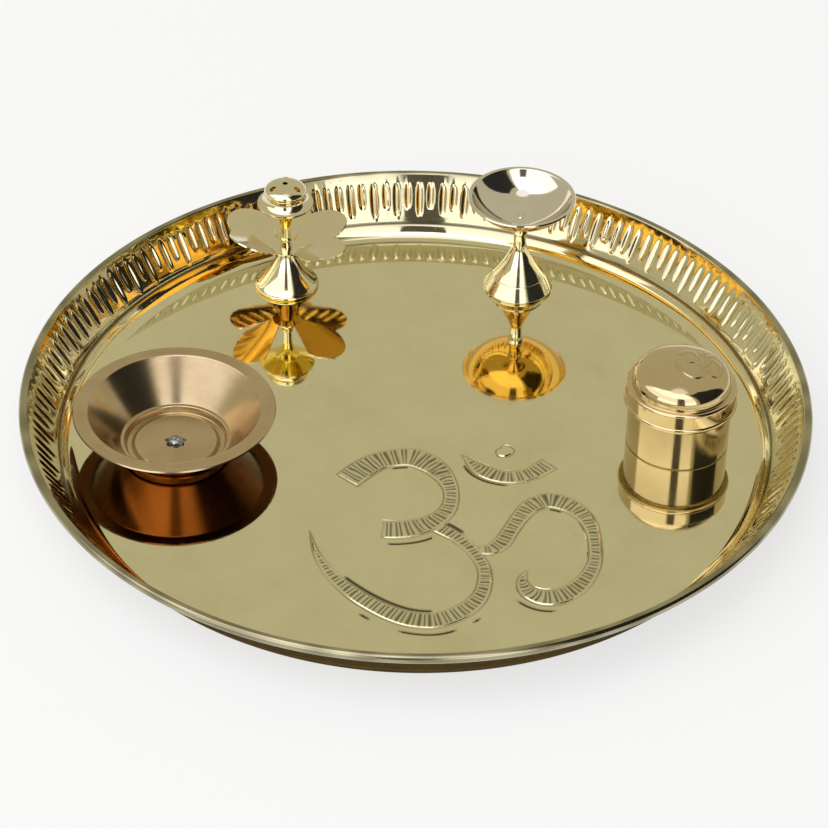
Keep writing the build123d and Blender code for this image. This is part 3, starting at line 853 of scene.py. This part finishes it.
class THALI_OT_incense(bpy.types.Operator):
    """Makes the incense holder: a cone foot, a flower of bent petals and a bud with stick holes"""

    bl_idname = "thali.incense"
    bl_label = "Incense holder"

    def execute(self, context):
        wares = context.scene.thali_wares
        colours = context.scene.thali_colours
        place = axis_of("incense_base")
        edge, height, sheet = 0.75, 15.0, 0.5
        rest = wares.cone_width / MM / 2 - edge
        cone = [(0, 2.0), (rest - 3.2, 2.0), (rest - 2, 0), (rest, 0)]
        cone += bow((rest, 0), (rest, 2 * edge), -edge, 8)[1:]
        cone += bow((rest, 2 * edge), (2.3, height), 1.0, 14)[1:] + [(0, height)]
        foot = turned("cone_foot", in_metres(cone), place)
        # The last colour is a painted reflection on the cone's and bud's undersides.
        brass = turned_brass("cast_brass", colours.cast, 0.05, 0.1, place, under=(0.95, 0.68, 0.11))
        dress(foot, "incense_holder", "incense_base", brass)

        flower = self.flower(wares, place + Vector((0, 0, height * MM)), sheet * MM)
        # The last colour is a painted reflection on the petals' undersides.
        petals = scratched_brass("petal_brass", colours.petal, 0.06, 0.12, place, 0.2, (0.92, 0.5, 0.09))
        dress(flower, "incense_holder", "incense_flower", petals)

        bud = self.bud(wares, place + Vector((0, 0, (height + sheet) * MM)))
        dress(bud, "incense_holder", "incense_bud", brass)
        return {"FINISHED"}

    def flower(self, wares, place, sheet):
        """A hub with five petals, each shaped from a grid, with the last one bent up further."""
        hub, bend, slit, half_length = 5 * MM, 4.6 * MM, 0.29 * MM, 11.0 * MM
        first, pitch = -30.0, 60.0
        span = wares.petal_reach - bend
        pieces = [turned("petal_flower", [(0, 0), (hub, 0), (hub, sheet), (0, sheet)], place, 48)]
        for number, rise in enumerate((21.0, 21.0, 21.0, 21.0, 36.0)):
            pick_none()
            bpy.ops.mesh.primitive_grid_add(x_subdivisions=18, y_subdivisions=12, size=2)
            petal = named(f"petal_{number}")
            points = points_of(petal)
            along = (points[:, 0] + 1) / 2
            along = 1 - (1 - along) ** 1.4
            out = along * span
            wedge = (bend + out) * tan(radians(pitch / 2)) - slit
            middle = span - half_length
            widest = wares.petal_width / 2
            oval = widest * np.sqrt(np.clip(1 - ((out - middle) / half_length) ** 2, 0.0, 1))
            half = np.minimum(wedge, np.where(out > middle, oval, widest))
            aside = points[:, 1] * half
            cup = 0.9 * MM * (aside / (8 * MM)) ** 2 * np.clip(out / (6 * MM), 0, 1)
            curl = -0.8 * MM * (out / span) ** 2
            move_points(petal, np.stack([out, aside, cup + curl], 1))
            thicken = petal.modifiers.new("sheet", "SOLIDIFY")
            thicken.thickness = sheet
            thicken.offset = 1.0
            apply_all(petal)
            close_up(petal)
            turn = radians(first + pitch * number)
            seat = (
                Matrix.Translation(place)
                @ Matrix.Rotation(turn, 4, "Z")
                @ Matrix.Translation((bend, 0, 0))
                @ Matrix.Rotation(radians(-rise), 4, "Y")
            )
            petal.data.transform(seat)
            pieces.append(petal)
        return join(*pieces)

    def bud(self, wares, place):
        """A turned neck, skirt and domed cap, drilled for one upright stick and three leaning ones."""
        top, brow, cap = wares.bud_height / MM, 23.4, 7.2
        line = [(0, 0), (2.2, 0), (1.7, 2.9)] + bow((1.7, 2.9), (1.7, 4.7), -0.5, 8)[1:]
        line += [(1.7, 6.1)] + swing((1.7, 7.5), (0, 1), (4.5, 15.8), 12)
        line += rounded([(4.5, 15.8), (9.5, 18.2, 0.22), (9.5, 18.9, 0.22), (9.2, 19.4)], 3)[1:-1]
        line += list(reversed(swing((6.8, 22.2), (0, -1), (9.5, 18.95), 10)))[1:]
        line += list(reversed(swing((cap, brow), (0, -1), (6.8, 22.2), 6)))[1:]
        rise = top - brow
        line += [(cap * cos(a), brow + rise * sin(a)) for a in np.linspace(0, pi / 2, 15)][1:]
        line[-1] = (0, top)
        bud = turned("stick_bud", in_metres(line), place, 96)
        centre = place + Vector((0, 0, brow * MM))
        drills = [(9.0, Matrix.Translation(place + Vector((0, 0, (top - 2.5) * MM))))]
        lean = radians(66.0)
        for direction in (90.0, 210.0, 330.0):
            aim = Matrix.Rotation(radians(direction), 4, "Z") @ Matrix.Rotation(lean, 4, "Y")
            drills.append((8.0, Matrix.Translation(centre) @ aim @ Matrix.Translation((0, 0, 6.6 * MM))))
        cutters = []
        for number, (length, drill) in enumerate(drills):
            pick_none()
            bpy.ops.mesh.primitive_cylinder_add(vertices=24, radius=0.9 * MM, depth=length * MM)
            cutter = named(f"drill_{number}")
            cutter.data.transform(drill)
            cutters.append(cutter)
        cutter = join(*cutters)
        cut = bud.modifiers.new("holes", "BOOLEAN")
        cut.operation = "DIFFERENCE"
        cut.solver = "EXACT"
        cut.object = cutter
        apply_all(bud)
        bpy.data.objects.remove(cutter)
        return bud


class THALI_OT_lamp(bpy.types.Operator):
    """Makes the oil lamp: a sloping foot, a bell that flows into a stem with a collar, and a shallow cup"""

    bl_idname = "thali.lamp"
    bl_label = "Oil lamp"

    def execute(self, context):
        wares = context.scene.thali_wares
        colours = context.scene.thali_colours
        place = axis_of("diya_stand")
        half, seat = wares.foot_width / MM / 2, 29.0
        line = [(0, 2.0), (half - 3.6, 2.0), (half - 2.4, 0)]
        line += rounded([
            line[-1], (half - 0.4, 0, 0.2), (half, 0.7, 0.3), (9.1, 4.7, 0.1), (8.8, 5.0),
        ], 4)[1:-1]
        line += rounded([(9.1, 4.7), (8.8, 5.0, 0.08), (9.1, 5.3, 0.12), (8.7, 5.8)], 3)[1:-1]
        line += flow([(8.9, 5.55), (4.7, 11.8), (2.2, 18.4)], (-4.4, 5.2), (0, 6.5))
        line += bow((2.2, 21.6), (2.2, 26.4), -0.7, 12) + [(2.2, 28.1), (1.0, 28.1), (1.0, seat), (1.4, seat)]
        line += list(reversed(swing((0, 29.5), (1, 0), (1.4, seat), 6)))[1:]
        stand = turned("lamp_stand", in_metres(line), place)
        brass = turned_brass("lamp_brass", colours.cast, 0.05, 0.1, place)
        dress(stand, "diya", "diya_stand", brass)

        rim, depth = wares.cup_width / MM / 2, 8.2
        flange = rim - 1.1
        dish = [(0, 0), (1.6, 0), (3.3, 0)] + swing((3.3, 0), (1, 0), (flange, depth), 22)[1:]
        dish = dish[:-1] + rounded([dish[-2], (flange, depth, 0.6), (rim, depth)], 8)[1:-1] + [(rim, depth)]
        cup = turned("lamp_cup", in_metres(thick(dish, 0.9)), place + Vector((0, 0, seat * MM)))
        # The last colour is a painted reflection on the cup's underside.
        pale = turned_brass("cup_brass", colours.cup, 0.05, 0.1, place, 900.0, (0.92, 0.56, 0.12))
        dress(cup, "diya", "diya_cup", pale)
        return {"FINISHED"}


class THALI_OT_box(bpy.types.Operator):
    """Makes the powder box: a turned body with a shoulder ring and a slip lid with a domed top"""

    bl_idname = "thali.box"
    bl_label = "Powder box"

    def execute(self, context):
        wares = context.scene.thali_wares
        colours = context.scene.thali_colours
        place = axis_of("kumkum_box_body")
        ring = wares.box_width / MM / 2
        wall, neck, sheet = ring - 1.6, ring - 1.05, 0.9
        floor, shoulder, ring_top, neck_top = 1.2, 15.6, 17.6, 21.4
        body = rounded([
            (0, 0), (wall, 0, 0.3), (wall, 0.5), (wall, 1.0), (wall, shoulder, 0.25), (ring, shoulder, 0.96),
            (ring, ring_top, 0.96), (neck, ring_top), (neck, neck_top, 0.25), (wall - sheet, neck_top, 0.25),
            (wall - sheet, floor, 0.9), (0, floor),
        ], 5)
        box = turned("powder_box", in_metres(body), place)
        x, y, height = (points_of(box) - np.array(place)).T / MM
        # Painted shade: darker at the foot where the box stands on the plate and under its shoulder ring.
        outside = np.hypot(x, y) > wall - 0.5
        mark_darkening(box, outside * (0.9 * bump(height, 0.45) + 0.7 * bump(height - shoulder, 0.3)))
        brass = turned_brass("turned_brass", colours.turned, 0.06, 0.13, place, 1100.0)
        dress(box, "kumkum_box", "kumkum_box_body", brass)

        step, drum, top = ring - 2.2, 6.0, wares.lid_height / MM
        dome, bend = top - drum, 5.6
        side = step - bend
        crown = (side**2 + dome**2 - bend**2) / (2 * (dome - bend))
        slope = math.atan2(side, crown - dome)
        arc = [(crown * sin(a), top - crown * (1 - cos(a))) for a in np.linspace(0, slope, 40)]
        arc += sweep(arc[-1], (side, drum), (step, drum), 22)[1:]
        band = ring - 0.4
        line = arc + rounded([(step, drum), (step, 5.4, 0.25), (band, 5.4, 1.1), (band, 0)], 6)[1:]
        lid = turned("powder_lid", in_metres(thick(line, sheet)), axis_of("kumkum_box_lid"), 192)
        self.press_sign(lid)
        dress(lid, "kumkum_lid", "kumkum_box_lid", brass)
        return {"FINISHED"}

    def press_sign(self, lid):
        """The plate's sign again, small and faint, on the dome."""
        place = axis_of("kumkum_box_lid")
        points = points_of(lid)
        x, y = [(points[:, n] - place[n]) / MM for n in (0, 1)]
        x, y = (x - 4.6) * LID_SIGN_SHRINK + 12.0, y * LID_SIGN_SHRINK - 48.0
        edge, *_ = sign_edges(x, y, SIGN_STROKES)
        outside = points[:, 2] > place.z + 6.2 * MM
        points[:, 2] += np.where(outside, 0.25 * MM * ease(-edge, -1.2, 1.2), 0)
        move_points(lid, points)
        mark_darkening(lid, np.where(outside, 0.25 * bump(edge - 0.6, 1.6), 0))


class THALI_OT_bowl(bpy.types.Operator):
    """Makes the spun bowl with its pressed foot, and the rivet in its floor"""

    bl_idname = "thali.bowl"
    bl_label = "Bowl"

    def execute(self, context):
        wares = context.scene.thali_wares
        colours = context.scene.thali_colours
        place = axis_of("bowl")
        lip = wares.bowl_width / MM / 2
        line = rounded([
            (0, 1.9), (13.2, 1.9, 0.5), (14.3, 0.8, 0.4), (15.8, 0.8, 0.4), (16.6, 3.1, 0.45),
            (17.7, 3.1, 0.45), (lip - 4.3, 15.6, 1.2), (lip, 15.3),
        ], 5)
        wall = []
        for here, there in zip(line, line[1:]):
            parts = max(1, int(math.dist(here, there) / 1.5))
            wall += [tuple(Vector(here).lerp(Vector(there), n / parts)) for n in range(parts)]
        wall.append(line[-1])
        sheet = 0.8
        bowl = turned("bronze_bowl", in_metres(thick(wall, sheet)), place, 160)
        points = points_of(bowl) - np.array(place)
        around = np.arctan2(points[:, 0], -points[:, 1])
        inside = np.interp(np.hypot(points[:, 0], points[:, 1]), *np.array(in_metres(wall)).T)
        # Painted shade: the bowl's outside is darkened all round except on the side toward the front.
        painted_shade = 0.85 - 0.85 * bump(around + 0.1, 0.6)
        mark_darkening(bowl, np.where(points[:, 2] < inside - 0.3 * MM, painted_shade, 0))
        bronze = brushed_bronze("bowl_bronze", colours.bronze, place)
        dress(bowl, "bowl", "bowl", bronze)

        head, level = wares.rivet_width / MM / 2 + 0.5, 1.9
        line = [(0, 0.6), (1.9, 0.6), (1.9, 1.1), (1.2, 1.1), (1.2, level), (head, level)]
        line += list(reversed(swing((0, 3.0), (1, 0), (head, level), 6)))[1:]
        rivet = turned("floor_rivet", in_metres(line), place, 40)
        points = points_of(rivet)
        chance = np.random.default_rng(3)
        dents = chance.normal(0, 0.09 * MM, points.shape)
        points += np.where(points[:, 2:] > place.z + (level + 0.05) * MM, dents, 0)
        move_points(rivet, points)
        drops = []
        spots = ((-1.7, -1.9, 1.2), (0.3, -2.7, 1.1), (1.9, -1.7, 1.0), (-2.7, 0.2, 0.9), (2.5, 0.4, 0.8))
        for number, (x, y, size) in enumerate(spots):
            pick_none()
            spot = place + Vector((x, y, level)) * MM
            bpy.ops.mesh.primitive_ico_sphere_add(subdivisions=3, radius=size * MM, location=spot)
            drop = named(f"solder_{number}")
            drop.scale = (1, 0.8, 0.45)
            bpy.ops.object.transform_apply(location=True, rotation=True, scale=True)
            blob = points_of(drop)
            move_points(drop, blob + chance.normal(0, 0.07 * MM, blob.shape))
            drops.append(drop)
        mark_darkening(rivet, np.zeros(len(points)))
        for drop in drops:
            mark_darkening(drop, np.ones(len(drop.data.vertices)))
        rivet = join(rivet, *drops)
        grey = hammered_grey("rivet_metal", colours.rivet, place)
        dress(rivet, "bowl", "bowl_rivet", grey, crease=60.0)
        return {"FINISHED"}


class THALI_OT_studio(bpy.types.Operator):
    """Makes the table, the large soft light, the dark cards beside it and the camera"""

    bl_idname = "thali.studio"
    bl_label = "Studio"

    def execute(self, context):
        look = context.scene.thali_studio
        pick_none()
        bpy.ops.mesh.primitive_plane_add(size=TABLE_SIZE, location=(0, 0, -TABLE_DROP))
        table = named("table")
        table.data.materials.append(plain("table_white", look.floor, 0.5, 0.7))
        for name, around, up in (
            ("low_window", (-55, WINDOW_SPAN[1]), (6, 24)),
            ("middle_window", WINDOW_SPAN, (24, 48)),
            ("high_window", WINDOW_SPAN, (48, 80)),
            ("ceiling", (-100, 260), (80, 90)),
        ):
            self.dome_strip(name, DOME_RADIUS, around, up, glow(f"{name}_light", getattr(look, name)))
        dark = plain("card_black", (0.02, 0.02, 0.02), 0.5)
        self.dome_strip("side_card", CARD_RADIUS, (38, 100), (3, 70), dark)
        dim = plain("card_grey", (0.13, 0.12, 0.11), 0.5)
        self.dome_strip("front_card", CARD_RADIUS, (-10, 7), (3, 47), dim)
        self.room(context, look)
        self.camera(context)
        return {"FINISHED"}

    def dome_strip(self, name, radius, around, up, material):
        """Part of a dome over the tray, between two directions round it and two heights."""
        angles = [radians(up[0] + (up[1] - up[0]) * n / 12) for n in range(13)]
        outline = [(radius * cos(a), radius * sin(a)) for a in angles]
        turn = radians(around[1] - around[0])
        strip = turned(name, outline, (0, 0, 0), 32, turn, radians(around[0] - 90))
        strip.data.materials.append(material)
        strip.visible_camera = False

    def room(self, context, look):
        world = bpy.data.worlds.new("room")
        world.use_nodes = True
        shade = world.node_tree.nodes["Background"]
        shade.inputs["Color"].default_value = rgba(look.room)
        context.scene.world = world
        context.scene.view_settings.view_transform = "Standard"

    def camera(self, context):
        tilt, roll, distance = radians(38.25), radians(1.1), 0.9018
        aim = Vector((-0.00054, -0.01387, 0.02013))
        eye = aim + distance * Vector((0, -cos(tilt), sin(tilt)))
        lens = bpy.data.cameras.new("photo_camera")
        lens.sensor_width = 36
        lens.lens = 123.48
        camera = bpy.data.objects.new("photo_camera", lens)
        context.scene.collection.objects.link(camera)
        turn = Matrix.Rotation(pi / 2 - tilt, 4, "X") @ Matrix.Rotation(roll, 4, "Z")
        camera.matrix_world = Matrix.Translation(eye) @ turn
        context.scene.camera = camera


OPERATORS = (THALI_OT_plate, THALI_OT_incense, THALI_OT_lamp, THALI_OT_box, THALI_OT_bowl, THALI_OT_studio)


class THALI_PT_panel(bpy.types.Panel):
    """Lists the pieces of the tray"""

    bl_idname = "THALI_PT_panel"
    bl_label = "Puja thali"
    bl_space_type = "VIEW_3D"
    bl_region_type = "UI"
    bl_category = "Thali"

    def draw(self, context):
        for operator in OPERATORS:
            self.layout.operator(operator.bl_idname)
        for group in GROUPS:
            values = getattr(context.scene, group)
            for name in values.__annotations__:
                self.layout.prop(values, name)


GROUPS = {
    "thali_plate": PlateSizes,
    "thali_wares": WareSizes,
    "thali_colours": FinishColours,
    "thali_studio": StudioLook,
}
CLASSES = (*GROUPS.values(), *OPERATORS, THALI_PT_panel)


def register():
    for one in CLASSES:
        bpy.utils.register_class(one)
    for name, group in GROUPS.items():
        setattr(bpy.types.Scene, name, PointerProperty(type=group))


def unregister():
    for name in GROUPS:
        delattr(bpy.types.Scene, name)
    for one in reversed(CLASSES):
        bpy.utils.unregister_class(one)


def main():
    register()
    bpy.ops.thali.plate()
    bpy.ops.thali.incense()
    bpy.ops.thali.lamp()
    bpy.ops.thali.box()
    bpy.ops.thali.bowl()
    bpy.ops.thali.studio()


if __name__ == "__main__":
    main()
